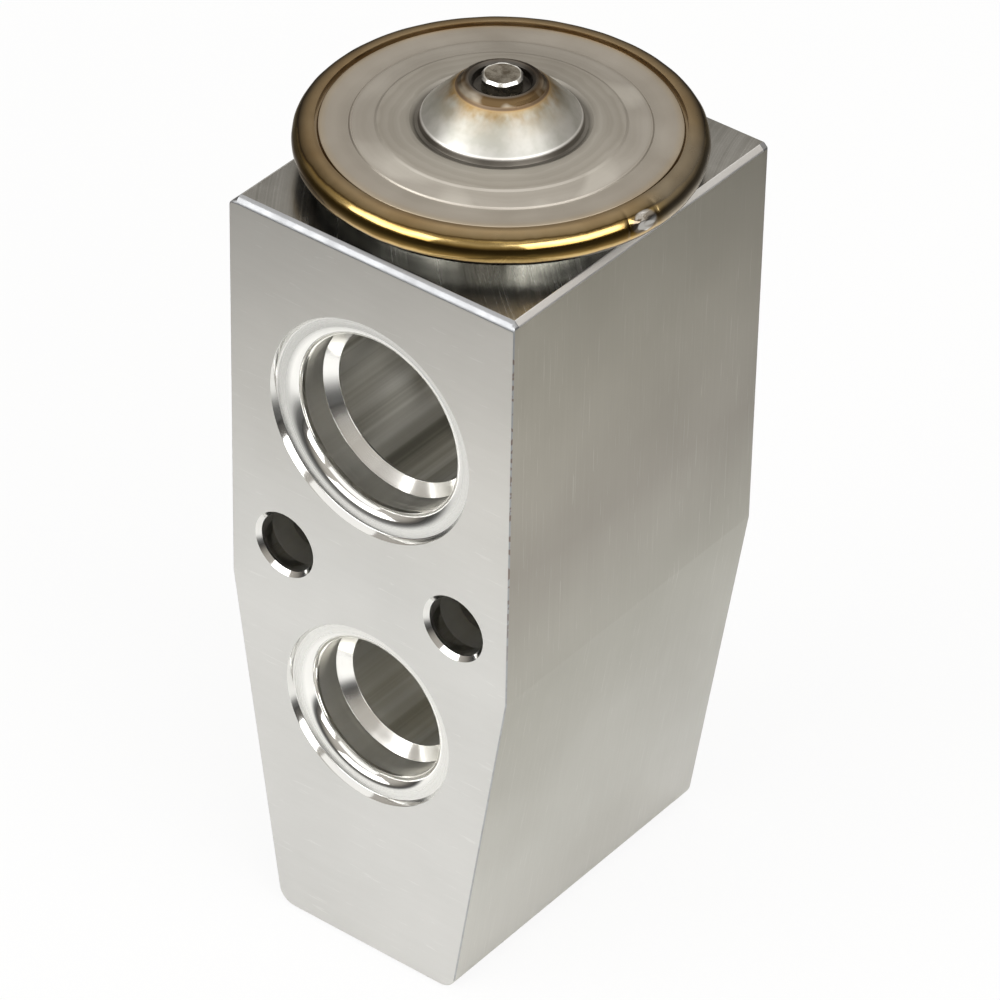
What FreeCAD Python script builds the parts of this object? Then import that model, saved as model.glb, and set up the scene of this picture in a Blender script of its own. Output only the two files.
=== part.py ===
import FreeCAD, Part
import math
import os

# Block-type thermostatic expansion valve, in millimetres, standing on the block's bottom face.
# Z is the rod's axis, the evaporator side faces -Y and the pipe side faces +Y.

# Block, an extrusion along Y that is straight above and tapered below
block_width = 35.0
block_depth = 40.4
block_height = 86.0
taper_height = 40.4
foot_width = 22.8
side_chamfer = 1.1
end_chamfer = 0.7
break_radius = 1.5
foot_radius = 2.0

# Return port, the same on both faces, and the passage between them
return_drop = 20.4
return_passage_r = 8.65
return_bore_r = 9.77
return_recess_r = 12.35

# Outlet port on the evaporator side, and its passage
outlet_height = 30.3
outlet_passage_r = 6.85
outlet_bore_r = 8.05
outlet_recess_r = 10.4
outlet_reach = 24.2

# Liquid inlet port on the pipe side, and its passage
inlet_height = 18.0
inlet_passage_r = 4.0
inlet_bore_r = 7.0
inlet_recess_r = 9.2

# Steps that every port shares
recess_depth = 0.7
recess_slope = 0.45
lip_radius = 1.1
lip_chord_count = 2
bore_depth = 4.9

# Fasteners through and into the block
bolt_pitch = 21.5
bolt_height = 46.7
bolt_r = 3.3
bolt_chamfer = 0.65
stud_height = 42.0
stud_r = 2.5
stud_depth = 14.0
drill_half_angle = 59.0

# Diaphragm head
head_r = 20.35
rim_rise = 3.5
bead_section_r = 1.9
bead_chord_count = 8
weld_depth = 2.25
cover_t = 1.2
lower_t = 0.9
diaphragm_t = 0.15
wave_pitch = 0.95
wave_rise = 0.18
plate_inset = 0.24
plate_step = 0.35
ring_outer_r = 14.8
ring_inner_r = 12.1
ring_step = 0.15
dish_rise = 0.7
groove_r = 8.9
groove_depth = 0.3
cone_foot_r = 7.9
cone_foot_rise = 0.35
cone_top_r = 4.5
cone_rise = 3.78
crown_rise = 0.75
crown_shoulder = 0.6
crown_r = 3.35
crown_lip = 0.55
plug_seat_depth = 0.9
plug_head_r = 2.07
plug_top_r = 1.82
plug_proud = 0.62
plug_stem_r = 1.5
dish_wall_r = 15.6
dish_wall_slope = 0.9
collar_over = 0.3

# Threaded neck that screws the head into the block
neck_r = 8.0
neck_length = 9.0
neck_step = 1.2
neck_bore_step = 0.2
head_seal_section_r = 0.75

# Rod, stop disc and the seal between the passages
travel = 0.8
stop_r = 10.6
stop_t = 0.9
stop_hub_gap = 0.6
stop_hub_length = 3.0
rod_r = 3.2
rod_socket_depth = 0.2
rod_foot_gap = 1.2
seal_drop = 5.45
guide_length = 7.5
push_rod_r = 1.2
push_rod_grip = 4.0
rod_seal_section_r = 0.85
retainer_t = 0.5
retainer_rise = 0.5
retainer_teeth = 6

# Orifice, ball, carrier and spring
orifice_r = 2.0
orifice_length = 1.65
seat_cone_depth = 1.2
ball_r = 3.0
chamber_r = 6.3
carrier_cup_r = 1.2
carrier_cup_rise = 1.0
carrier_flange_t = 2.2
spigot_gap = 0.7
spigot_length = 2.4
damper_t = 0.25
damper_legs = 4
damper_leg_width = 1.6
damper_leg_length = 2.6
wire_r = 0.5
coil_r = 4.1
coil_turns = 5.5
coil_runs = 14

# Adjusting screw in the bottom bore
screw_r = 7.0
screw_recess = 1.0
screw_length = 9.5
screw_chamfer = 0.6
screw_top_gap = 0.5
socket_flats = 6.0
socket_depth = 4.4
web_t = 1.1
cup_gap = 0.3
screw_groove_rise = 7.0
screw_groove_slack = 0.3
screw_seal_section_r = 0.6

# Sides of the rings' section and of the hex socket, and the slope of a 45 degree seat
ring_side_count = 6
hex_side_count = 6
seat_diagonal = math.sqrt(2)

# Small chamfers and clearances
edge_chamfer = 0.4
pin_chamfer = 0.2
running_fit = 0.05
seat_gap = 0.04
press_gap = 0.02

# Radii that follow from the sizes above
weld_r = head_r - weld_depth
plate_r = weld_r - plate_inset
dish_floor_r = dish_wall_r - dish_wall_slope
collar_r = stop_r + collar_over
seal_pocket_r = rod_r + 2 * (rod_seal_section_r + running_fit)
neck_bore_r = seal_pocket_r + neck_bore_step
stop_hub_r = neck_bore_r - stop_hub_gap
carrier_r = coil_r + wire_r
spigot_r = coil_r - wire_r - spigot_gap
cup_r = coil_r + wire_r + cup_gap
screw_groove_r = screw_r + running_fit - 2 * (screw_seal_section_r + press_gap)

# Heights that follow from the sizes above
return_height = block_height - return_drop
rim_height = block_height + rim_rise
flange_top = rim_height + diaphragm_t / 2 + cover_t
plate_height = flange_top + plate_step
dish_height = plate_height + dish_rise
cone_top_height = dish_height + cone_rise
crown_height = cone_top_height + crown_rise
lower_flange_top = rim_height - diaphragm_t / 2
stop_top_height = lower_flange_top - running_fit
stop_floor_height = stop_top_height - stop_t
lower_floor_height = stop_floor_height - travel - running_fit
rod_top_height = stop_floor_height + rod_socket_depth
seal_pocket_floor = return_height - return_passage_r - seal_drop
guide_floor_height = seal_pocket_floor - guide_length
rod_foot_height = guide_floor_height + travel + rod_foot_gap
seat_top_height = outlet_height - outlet_passage_r - orifice_length
seat_floor_height = seat_top_height - seat_cone_depth
ball_height = seat_top_height + orifice_r - (ball_r + seat_gap) * seat_diagonal
carrier_top_height = ball_height - ball_r / seat_diagonal + carrier_cup_rise
carrier_floor_height = carrier_top_height - carrier_flange_t
spring_top_height = carrier_floor_height - damper_t - 2 * press_gap
spring_floor_height = screw_recess + socket_depth + web_t
screw_top_height = screw_recess + screw_length
screw_groove_floor = screw_recess + screw_groove_rise
screw_groove_width = 2 * screw_seal_section_r + screw_groove_slack


def section(*corners):
    """Closed face in the XZ plane from radius and height pairs."""
    return closed_face([FreeCAD.Vector(radius, 0, height) for radius, height in corners])


def closed_face(points):
    return Part.Face(Part.makePolygon(points + points[:1]))


def turned(*corners):
    """Solid of revolution about Z from radius and height pairs."""
    return section(*corners).revolve(FreeCAD.Vector(0, 0, 0), FreeCAD.Vector(0, 0, 1), 360)


def arc_points(centre, radius, first, last, chords):
    """Radius and height pairs along an arc, from one angle in degrees to another."""
    angles = [math.radians(first + (last - first) * i / chords) for i in range(chords + 1)]
    return [(centre[0] + radius * math.cos(a), centre[1] + radius * math.sin(a)) for a in angles]


def upright(radius, low, high):
    """Cylinder on the rod's axis between two heights."""
    return Part.makeCylinder(radius, high - low, FreeCAD.Vector(0, 0, low))


def face_cutter(cutter, height, rear):
    """Turn a cutter made along Z, mouth at zero and depth downwards, to enter the front or rear face."""
    tool = cutter.copy()
    side = 1 if rear else -1
    tool.rotate(FreeCAD.Vector(0, 0, 0), FreeCAD.Vector(1, 0, 0), -90 * side)
    tool.translate(FreeCAD.Vector(0, side * block_depth / 2, height))
    return tool


def port_cutter(recess_r, bore_r, passage_r, reach, drilled):
    """Stepped port: shallow recess, rounded lip, bore, 45 degree shoulder and passage."""
    shoulder = bore_r - passage_r
    floor_r = bore_r + lip_radius
    lip_centre = (floor_r, -recess_depth - lip_radius)
    tip = passage_r / math.tan(math.radians(drill_half_angle)) if drilled else 0
    return turned(
        (0, 1),
        (recess_r, 1),
        (recess_r, 0),
        (recess_r - recess_slope, -recess_depth),
        *arc_points(lip_centre, lip_radius, 90, 180, lip_chord_count),
        (bore_r, -bore_depth),
        (passage_r, -bore_depth - shoulder),
        (passage_r, -reach),
        (0, -reach - tip) if drilled else (0, -reach),
    )


def hole_cutter(radius, depth, chamfer, drilled):
    """Chamfered hole, with a drill point where it is blind."""
    tip = radius / math.tan(math.radians(drill_half_angle)) if drilled else 0
    return turned(
        (0, 1),
        (radius + chamfer + 1, 1),
        (radius, -chamfer),
        (radius, -depth),
        (0, -depth - tip) if drilled else (0, -depth),
    )


def block_blank():
    """Extruded outline with its long edges broken, and the top's two end edges chamfered."""
    half = block_width / 2
    foot = foot_width / 2
    outline = Part.makePolygon([FreeCAD.Vector(x, -block_depth / 2, z) for x, z in (
        (-foot, 0), (foot, 0), (half, taper_height), (half, block_height),
        (-half, block_height), (-half, taper_height), (-foot, 0))])
    blank = Part.Face(outline).extrude(FreeCAD.Vector(0, block_depth, 0))

    def long_edges(height):
        return [edge for edge in blank.Edges
                if edge.BoundBox.YLength > block_depth / 2 and abs(edge.BoundBox.ZMax - height) < 0.01]

    blank = blank.makeFillet(foot_radius, long_edges(0))
    blank = blank.makeFillet(break_radius, long_edges(taper_height))
    blank = blank.makeChamfer(side_chamfer, long_edges(block_height))
    ends = [edge for edge in blank.Edges
            if edge.BoundBox.YLength < 0.01 and edge.BoundBox.ZLength < 0.01
            and abs(edge.BoundBox.ZMax - block_height) < 0.01]
    return blank.makeChamfer(end_chamfer, ends)


def valve_body():
    blank = block_blank()
    half_depth = block_depth / 2
    port = port_cutter(return_recess_r, return_bore_r, return_passage_r, half_depth + 1, False)
    outlet = port_cutter(outlet_recess_r, outlet_bore_r, outlet_passage_r, outlet_reach, True)
    inlet = port_cutter(inlet_recess_r, inlet_bore_r, inlet_passage_r, half_depth, False)
    bolt = hole_cutter(bolt_r, half_depth + 1, bolt_chamfer, False)
    stud = hole_cutter(stud_r, stud_depth, bolt_chamfer, True)
    tools = [
        face_cutter(port, return_height, False),
        face_cutter(port, return_height, True),
        face_cutter(outlet, outlet_height, False),
        face_cutter(inlet, inlet_height, True),
        face_cutter(stud, stud_height, True),
    ]
    for side in (-1, 1):
        for rear in (False, True):
            tool = face_cutter(bolt, bolt_height, rear)
            tool.translate(FreeCAD.Vector(side * bolt_pitch / 2, 0, 0))
            tools.append(tool)
    return blank.cut(tools + head_bore() + rod_bore() + chamber_bore()).removeSplitter()


def head_bore():
    """Threaded socket for the neck, the O-ring pocket at its mouth and the way down to the passage."""
    pocket_r = neck_r + 2 * head_seal_section_r + 3 * running_fit
    pocket_floor = block_height - 2 * head_seal_section_r - 2 * running_fit
    thread_floor = block_height - neck_length - press_gap
    return [
        upright(pocket_r, pocket_floor, block_height + 1),
        upright(neck_r + running_fit, thread_floor, block_height),
        upright(neck_bore_r, return_height, thread_floor),
    ]


def rod_bore():
    """Seal pocket, guide for the sensing rod and the narrow bore of the push rod."""
    return [
        upright(seal_pocket_r, seal_pocket_floor, return_height),
        upright(rod_r + running_fit, guide_floor_height, seal_pocket_floor),
        upright(push_rod_r + running_fit, outlet_height, guide_floor_height),
    ]


def chamber_bore():
    """Spring chamber, the seat's cone and orifice, and the wider bore of the adjusting screw."""
    bore_r = screw_r + running_fit
    bore_top = screw_top_height + screw_top_gap
    return [
        turned(
            (0, -1),
            (bore_r + screw_chamfer + 1, -1),
            (bore_r, screw_chamfer),
            (bore_r, bore_top),
            (chamber_r, bore_top + bore_r - chamber_r),
            (chamber_r, seat_floor_height),
            (orifice_r + seat_cone_depth, seat_floor_height),
            (orifice_r, seat_top_height),
            (orifice_r, outlet_height),
            (0, outlet_height),
        ),
    ]


def upper_cover():
    """Pressed sheet: flange, dished plate with a ring step, round groove and conical crown."""
    recess_r = crown_r - crown_lip
    plug_floor = crown_height - plug_seat_depth
    hole_r = plug_stem_r + press_gap
    shelf = plate_height + ring_step
    return turned(
        (weld_r, flange_top),
        (plate_r, flange_top),
        (plate_r - 0.1, plate_height),
        (ring_outer_r, plate_height),
        (ring_outer_r - 0.3, shelf),
        (ring_inner_r + 0.25, shelf + (dish_rise - ring_step) * 0.35),
        (ring_inner_r, shelf + (dish_rise - ring_step) * 0.55),
        (groove_r, dish_height - 0.05),
        ((groove_r + cone_foot_r) / 2, dish_height - groove_depth),
        (cone_foot_r, dish_height + cone_foot_rise),
        (cone_top_r, cone_top_height),
        (cone_top_r - crown_shoulder, cone_top_height + crown_rise * 0.65),
        (crown_r, crown_height),
        (recess_r, crown_height - crown_lip / 2),
        (recess_r, plug_floor),
        (hole_r, plug_floor),
        (hole_r, plug_floor - cover_t * 0.6),
        (cone_top_r - cover_t, plug_floor - cover_t * 0.6),
        (cone_foot_r - cover_t, dish_height - cover_t),
        (plate_r - cover_t, flange_top - cover_t),
        (weld_r, flange_top - cover_t),
    )


def charge_plug():
    """Button with a tapered head, a slim stem through the crown and a burr below."""
    floor = crown_height - plug_seat_depth + press_gap
    top = crown_height + plug_proud
    foot = floor - cover_t
    return turned(
        (0, foot),
        (plug_stem_r - pin_chamfer, foot),
        (plug_stem_r, foot + pin_chamfer),
        (plug_stem_r, floor),
        (plug_head_r, floor),
        (plug_head_r, top - plug_head_r + plug_top_r),
        (plug_top_r, top),
        (0, top),
    )


def rim_weld_bead():
    """Full round weld that takes in the edges of both covers and of the diaphragm."""
    centre = (head_r - bead_section_r, rim_height)
    start = math.degrees(math.acos((weld_r + press_gap - centre[0]) / bead_section_r))
    return turned(*arc_points(centre, bead_section_r, -start, start, bead_chord_count))


def lower_cover():
    """Pressed cup: flange, steep wall and a flat floor with the neck's hole."""
    hole_r = neck_r - neck_step
    under_floor = lower_floor_height - lower_t
    under_flange = lower_flange_top - lower_t
    return turned(
        (weld_r, lower_flange_top),
        (dish_wall_r, lower_flange_top),
        (dish_floor_r, lower_floor_height),
        (hole_r, lower_floor_height),
        (hole_r, under_floor),
        (dish_floor_r + lower_t * 0.75, under_floor),
        (dish_wall_r + lower_t, under_flange),
        (weld_r, under_flange),
    )


def mounting_neck():
    """Turned tube with a collar under the dish, a locating lip inside it and a chamfered threaded end."""
    lip_r = neck_r - neck_step - press_gap
    lip_top = lower_floor_height - lower_t / 4
    under_floor = lower_floor_height - lower_t - press_gap
    foot = block_height - neck_length
    return turned(
        (neck_bore_r, lip_top),
        (lip_r, lip_top),
        (lip_r, under_floor),
        (collar_r, under_floor),
        (collar_r, block_height + press_gap),
        (neck_r, block_height + press_gap),
        (neck_r, foot),
        (neck_bore_r, foot),
    )


def o_ring(inner_r, section_r, height):
    """Ring with a six-sided section inside the round one."""
    last = 360 - 360 / ring_side_count
    return turned(*arc_points((inner_r + section_r, height), section_r, 0, last, ring_side_count - 1))


def head_seal():
    height = block_height - head_seal_section_r - running_fit
    return o_ring(neck_r + running_fit, head_seal_section_r, height)


def diaphragm():
    """Thin disc with one corrugation between its flat middle and the edge that the covers clamp."""
    top = rim_height + diaphragm_t / 2 - press_gap / 2
    low = rim_height - diaphragm_t / 2 + press_gap / 2
    wave = [(stop_r + wave_pitch * (i + 0.6), rise) for i, rise in enumerate((0, wave_rise, 0))]
    upper = [(r, top + rise) for r, rise in wave]
    lower = [(r, low + rise) for r, rise in reversed(wave)]
    return turned((0, top), *upper, (weld_r, top), (weld_r, low), *lower, (0, low))


def stop_disc():
    """Disc under the diaphragm with a chamfered edge and a hub that takes the sensing rod."""
    hub_floor = stop_floor_height - stop_hub_length
    socket_r = rod_r + press_gap
    return turned(
        (0, stop_top_height),
        (stop_r - edge_chamfer, stop_top_height),
        (stop_r, stop_top_height - edge_chamfer),
        (stop_r, stop_floor_height),
        (stop_hub_r, stop_floor_height),
        (stop_hub_r, hub_floor),
        (socket_r, hub_floor),
        (socket_r, rod_top_height),
        (0, rod_top_height),
    )


def sensing_rod():
    """Thick rod with chamfered ends and a blind hole below for the push rod."""
    top = rod_top_height - press_gap
    hole_r = push_rod_r + press_gap
    return turned(
        (0, top),
        (rod_r - edge_chamfer, top),
        (rod_r, top - edge_chamfer),
        (rod_r, rod_foot_height + edge_chamfer),
        (rod_r - edge_chamfer, rod_foot_height),
        (hole_r, rod_foot_height),
        (hole_r, rod_foot_height + push_rod_grip + press_gap),
        (0, rod_foot_height + push_rod_grip + press_gap),
    )


def push_rod():
    """Thin pin from the sensing rod to the top of the ball."""
    foot = ball_height + ball_r + press_gap
    top = rod_foot_height + push_rod_grip
    return turned(
        (0, foot),
        (push_rod_r - pin_chamfer, foot),
        (push_rod_r, foot + pin_chamfer),
        (push_rod_r, top - pin_chamfer),
        (push_rod_r - pin_chamfer, top),
        (0, top),
    )


def rod_seal():
    height = seal_pocket_floor + rod_seal_section_r + running_fit
    return o_ring(rod_r + running_fit, rod_seal_section_r, height)


def seal_retainer():
    """Dished push nut whose slotted edge grips the pocket."""
    floor = seal_pocket_floor + 2 * rod_seal_section_r + 2 * running_fit + press_gap
    inner_r = rod_r + 6 * running_fit
    edge_r = seal_pocket_r - press_gap
    bend_r = (inner_r + edge_r) / 2
    ring = turned(
        (inner_r, floor),
        (bend_r, floor),
        (edge_r, floor + retainer_rise),
        (edge_r, floor + retainer_rise + retainer_t),
        (bend_r, floor + retainer_t),
        (inner_r, floor + retainer_t),
    )
    height = retainer_rise + retainer_t + 2
    slot = Part.makeBox(edge_r, edge_chamfer, height, FreeCAD.Vector(bend_r, -edge_chamfer / 2, floor - 1))
    slots = []
    for i in range(retainer_teeth):
        cutter = slot.copy()
        cutter.rotate(FreeCAD.Vector(0, 0, 0), FreeCAD.Vector(0, 0, 1), 360 * i / retainer_teeth)
        slots.append(cutter)
    return ring.cut(slots)


def valve_ball():
    return Part.makeSphere(ball_r, FreeCAD.Vector(0, 0, ball_height))


def ball_carrier():
    """Cup with a 45 degree seat for the ball, a flange on the spring and a spigot inside it."""
    cup_floor = ball_height - (ball_r + press_gap) * seat_diagonal + carrier_cup_r
    rim = carrier_top_height
    spigot_end = carrier_floor_height - spigot_length
    return turned(
        (0, cup_floor),
        (carrier_cup_r, cup_floor),
        (carrier_cup_r + rim - cup_floor, rim),
        (carrier_r - edge_chamfer, rim),
        (carrier_r, rim - edge_chamfer),
        (carrier_r, carrier_floor_height),
        (spigot_r, carrier_floor_height),
        (spigot_r, spigot_end + edge_chamfer),
        (spigot_r - edge_chamfer, spigot_end),
        (0, spigot_end),
    )


def damping_spring():
    """Flat ring between carrier and spring, with legs bent down along the chamber wall."""
    top = carrier_floor_height - press_gap
    low = top - damper_t
    ring = upright(carrier_r, low, top).cut(upright(spigot_r + 3 * running_fit, low - 1, top + 1))
    outer_r = chamber_r - 3 * running_fit
    bend = 2 * damper_t
    leg = section(
        (carrier_r - bend, top),
        (outer_r - bend, top),
        (outer_r, top - bend),
        (outer_r - damper_t, top - damper_leg_length),
        (outer_r - 2 * damper_t, top - damper_leg_length),
        (outer_r - damper_t, top - bend - damper_t / 2),
        (outer_r - bend - damper_t / 2, low),
        (carrier_r - bend, low),
    ).extrude(FreeCAD.Vector(0, damper_leg_width, 0))
    leg.translate(FreeCAD.Vector(0, -damper_leg_width / 2, 0))
    trim = upright(outer_r, low - damper_leg_length, top + 1)
    legs = []
    for i in range(damper_legs):
        copy = leg.common(trim)
        copy.rotate(FreeCAD.Vector(0, 0, 0), FreeCAD.Vector(0, 0, 1), 360 * (i + 0.5) / damper_legs)
        legs.append(copy)
    return ring.fuse(legs).removeSplitter()


def valve_spring():
    """Compression coil with closed ends: an eight-sided wire mitred along short runs of the helix."""
    low = spring_floor_height + wire_r + press_gap
    high = spring_top_height - wire_r
    closed = 2 * wire_r + press_gap
    pitch = (high - low - 2 * closed) / (coil_turns - 2)
    route = []
    for i in range(int(coil_turns * coil_runs) + 1):
        turn = i / coil_runs
        middle = min(max(turn - 1, 0), coil_turns - 2)
        rise = closed * (turn - middle) + pitch * middle
        angle = 2 * math.pi * turn
        route.append(FreeCAD.Vector(coil_r * math.cos(angle), coil_r * math.sin(angle), low + rise))
    runs = [(b - a).normalize() for a, b in zip(route, route[1:])]
    side = FreeCAD.Vector(1, 0, 0)
    over = runs[0].cross(side).normalize()
    side = over.cross(runs[0])
    ring = [route[0] + (side * math.cos(a) + over * math.sin(a)) * wire_r
            for a in [math.pi * (i + 0.5) / 4 for i in range(8)]]
    faces = [closed_face(ring)]
    for i, run in enumerate(runs):
        mitre = run + runs[i + 1] if i + 1 < len(runs) else run
        end = route[i + 1]
        following = [p + run * ((end - p).dot(mitre) / run.dot(mitre)) for p in ring]
        faces += [closed_face([ring[k], ring[(k + 1) % 8], following[(k + 1) % 8], following[k]])
                  for k in range(8)]
        ring = following
    faces.append(closed_face(ring))
    shell = Part.Shell(faces)
    shell.sewShape()
    return Part.Solid(shell)


def adjusting_screw():
    """Hollow set screw: cup for the spring above, O-ring groove outside and hex socket below."""
    groove_top = screw_groove_floor + screw_groove_width
    body = turned(
        (0, screw_recess),
        (screw_r - screw_chamfer, screw_recess),
        (screw_r, screw_recess + screw_chamfer),
        (screw_r, screw_groove_floor),
        (screw_groove_r, screw_groove_floor),
        (screw_groove_r, groove_top),
        (screw_r, groove_top),
        (screw_r, screw_top_height),
        (cup_r, screw_top_height),
        (cup_r, spring_floor_height),
        (0, spring_floor_height),
    )
    half_side = math.pi / hex_side_count
    corner_r = socket_flats / 2 / math.cos(half_side)
    corners = [FreeCAD.Vector(corner_r * math.cos(2 * half_side * i),
                              corner_r * math.sin(2 * half_side * i), screw_recess - 1)
               for i in range(hex_side_count)]
    socket = closed_face(corners).extrude(FreeCAD.Vector(0, 0, socket_depth + 1))
    return body.cut(socket)


def adjusting_screw_seal():
    height = screw_groove_floor + screw_groove_width / 2
    return o_ring(screw_groove_r + press_gap, screw_seal_section_r, height)


pieces = (
    valve_body, upper_cover, charge_plug, rim_weld_bead, lower_cover, mounting_neck, head_seal,
    diaphragm, stop_disc, sensing_rod, push_rod, rod_seal, seal_retainer, valve_ball, ball_carrier,
    damping_spring, valve_spring, adjusting_screw, adjusting_screw_seal,
)

os.makedirs("parts", exist_ok=True)
for piece in pieces:
    shape = piece()
    if not shape.isValid() or len(shape.Solids) != 1:
        print("check", piece.__name__, "valid", shape.isValid(), "solids", len(shape.Solids))
    shape.Solids[0].exportStep("parts/" + piece.__name__ + ".step")
    print(piece.__name__, round(shape.Volume, 1), "mm3")
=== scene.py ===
import bmesh
import bpy
import math
import numpy as np
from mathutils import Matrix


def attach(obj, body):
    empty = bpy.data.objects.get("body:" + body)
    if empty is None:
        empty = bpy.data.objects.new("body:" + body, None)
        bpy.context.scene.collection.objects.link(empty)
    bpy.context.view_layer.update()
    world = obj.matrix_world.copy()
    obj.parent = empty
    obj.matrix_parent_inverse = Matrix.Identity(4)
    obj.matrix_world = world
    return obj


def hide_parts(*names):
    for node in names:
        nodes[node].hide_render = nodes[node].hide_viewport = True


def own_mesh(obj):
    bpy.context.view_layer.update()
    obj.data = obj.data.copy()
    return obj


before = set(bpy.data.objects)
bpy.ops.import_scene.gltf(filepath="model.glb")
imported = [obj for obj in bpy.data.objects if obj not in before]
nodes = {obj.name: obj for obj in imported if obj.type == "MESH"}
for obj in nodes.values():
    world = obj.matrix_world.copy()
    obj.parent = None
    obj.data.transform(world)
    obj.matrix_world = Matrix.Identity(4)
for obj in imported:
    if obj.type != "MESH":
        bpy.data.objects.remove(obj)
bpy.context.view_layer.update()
mm = 0.001
print("frame loaded with", len(nodes), "nodes")


# shapes worked out as arrays

# a corner isn't rounded when half its angle is over nearlyStraight, and its arc takes at most arcShare of a run
nearlyStraight, arcShare = 1.56, 0.48
# points nearer than mergeDistance, in metres, are joined, and edges sharper than creaseAngle, in degrees, stay sharp
mergeDistance, creaseAngle = 1e-7, 32


def softProfile(corners, steps):
    # corners are (radius, height, rounding): each inner corner becomes an arc tangent to its two runs
    points = np.array([corner[:2] for corner in corners], float)
    parts = [points[:1]]
    for before, corner, after, given in zip(points, points[1:], points[2:], corners[1:-1]):
        back, ahead = before - corner, after - corner
        backLength, aheadLength = np.linalg.norm(back), np.linalg.norm(ahead)
        back, ahead = back / backLength, ahead / aheadLength
        half = 0.5 * math.acos(float(np.clip(back @ ahead, -1, 1)))
        if given[2] <= 0 or half > nearlyStraight:
            parts.append(corner[None])
            continue
        reach = min(given[2] / math.tan(half), arcShare * backLength, arcShare * aheadLength)
        radius = reach * math.tan(half)
        centre = corner + (back + ahead) / np.linalg.norm(back + ahead) * radius / math.sin(half)
        first, last = corner + back * reach - centre, corner + ahead * reach - centre
        turn = math.pi - 2 * half
        t = np.linspace(0, 1, steps + 1)[:, None]
        parts.append(centre + (np.sin((1 - t) * turn) * first + np.sin(t * turn) * last) / math.sin(turn))
    parts.append(points[-1:])
    return np.concatenate(parts)


def divided(profile, spacing):
    # the same profile with extra points, so that no run is longer than the spacing
    lengths = np.linalg.norm(np.diff(profile, axis=0), axis=1)
    parts = [start + (end - start) * np.linspace(0, 1, max(1, math.ceil(length / spacing)), endpoint=False)[:, None]
             for start, end, length in zip(profile, profile[1:], lengths)]
    return np.concatenate(parts + [profile[-1:]])


def ringGrid(profile, around, axis="z"):
    # a profile of radius and height is carried round its axis: x = radius cos(turn), y = radius sin(turn)
    turn = np.linspace(0, 2 * np.pi, around, endpoint=False)[None, :]
    radius, height = profile[:, :1], profile[:, 1:2]
    flat = np.stack([radius * np.cos(turn), radius * np.sin(turn), height + 0 * turn], axis=2)
    return flat if axis == "z" else flat[:, :, [0, 2, 1]]


def pieceFromGrid(name, grid, closedSection=False, capped=False):
    # rows run along the profile and columns round the axis; a quad joins each four neighbours
    rows, columns = grid.shape[:2]
    index = np.arange(rows * columns).reshape(rows, columns)
    ends = [index[0, ::-1].tolist(), index[-1].tolist()] if capped else []
    index = np.concatenate([index, index[:, :1]], axis=1)
    if closedSection:
        index = np.concatenate([index, index[:1]], axis=0)
    quads = np.stack([index[:-1, :-1], index[:-1, 1:], index[1:, 1:], index[1:, :-1]], axis=2).reshape(-1, 4)
    points = grid.reshape(-1, 3) * mm
    a, b, c, d = (points[quads[:, i]] for i in range(4))
    volume = np.einsum("ij,ij->i", a, np.cross(b, c)).sum() + np.einsum("ij,ij->i", a, np.cross(c, d)).sum()
    if volume < 0:
        quads, ends = quads[:, ::-1], [end[::-1] for end in ends]
    return newPiece(name, points, quads.tolist() + ends)


def newPiece(name, points, faces):
    mesh = bpy.data.meshes.new(name)
    mesh.from_pydata(points.tolist(), [], faces)
    work = bmesh.new()
    work.from_mesh(mesh)
    bmesh.ops.remove_doubles(work, verts=work.verts, dist=mergeDistance)
    work.to_mesh(mesh)
    work.free()
    piece = bpy.data.objects.new(name, mesh)
    bpy.context.scene.collection.objects.link(piece)
    smoothed(piece, creaseAngle)
    return piece


def smoothed(piece, sharpFrom):
    piece.data.polygons.foreach_set("use_smooth", np.ones(len(piece.data.polygons), bool))
    piece.data.set_sharp_from_angle(angle=math.radians(sharpFrom))
    piece.data.update()


def fitted(piece, body, materials, replaced):
    for material in materials:
        piece.data.materials.append(material)
    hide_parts(replaced)
    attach(piece, body)
    return piece


# helpers that build materials

def newMaterial(name, colour, roughness, metallic=1.0):
    material = bpy.data.materials.new(name)
    material.use_nodes = True
    tree = material.node_tree
    shader = tree.nodes["Principled BSDF"]
    shader.inputs["Base Color"].default_value = (*colour, 1)
    shader.inputs["Roughness"].default_value = roughness
    shader.inputs["Metallic"].default_value = metallic
    return material, tree, shader


def addNode(tree, kind, values=(), **settings):
    made = tree.nodes.new("ShaderNode" + kind)
    for key, value in settings.items():
        setattr(made, key, value)
    for key, value in dict(values).items():
        if isinstance(value, bpy.types.NodeSocket):
            tree.links.new(value, made.inputs[key])
        else:
            made.inputs[key].default_value = value
    return made


def calc(tree, operation, a, b=0.0, c=0.0, clamp=False):
    made = addNode(tree, "Math", {0: a, 1: b, 2: c}, operation=operation, use_clamp=clamp)
    return made.outputs[0]


def ramp(tree, value, stops):
    # stops are (place, colour), where a colour that is one number is a grey
    made = addNode(tree, "ValToRGB", {0: value})
    elements = made.color_ramp.elements
    while len(elements) < len(stops):
        elements.new(1.0)
    for element, (place, colour) in zip(elements, stops):
        element.position = place
        element.color = (*colour, 1) if isinstance(colour, tuple) else (colour, colour, colour, 1)
    return made.outputs[0]


def mixColour(tree, share, first, second, blend="MIX"):
    made = addNode(tree, "Mix", data_type="RGBA", blend_type=blend)
    for socket, value in ((0, share), (6, first), (7, second)):
        if isinstance(value, bpy.types.NodeSocket):
            tree.links.new(value, made.inputs[socket])
        else:
            made.inputs[socket].default_value = (*value, 1) if isinstance(value, tuple) else value
    return made.outputs[2]


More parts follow.
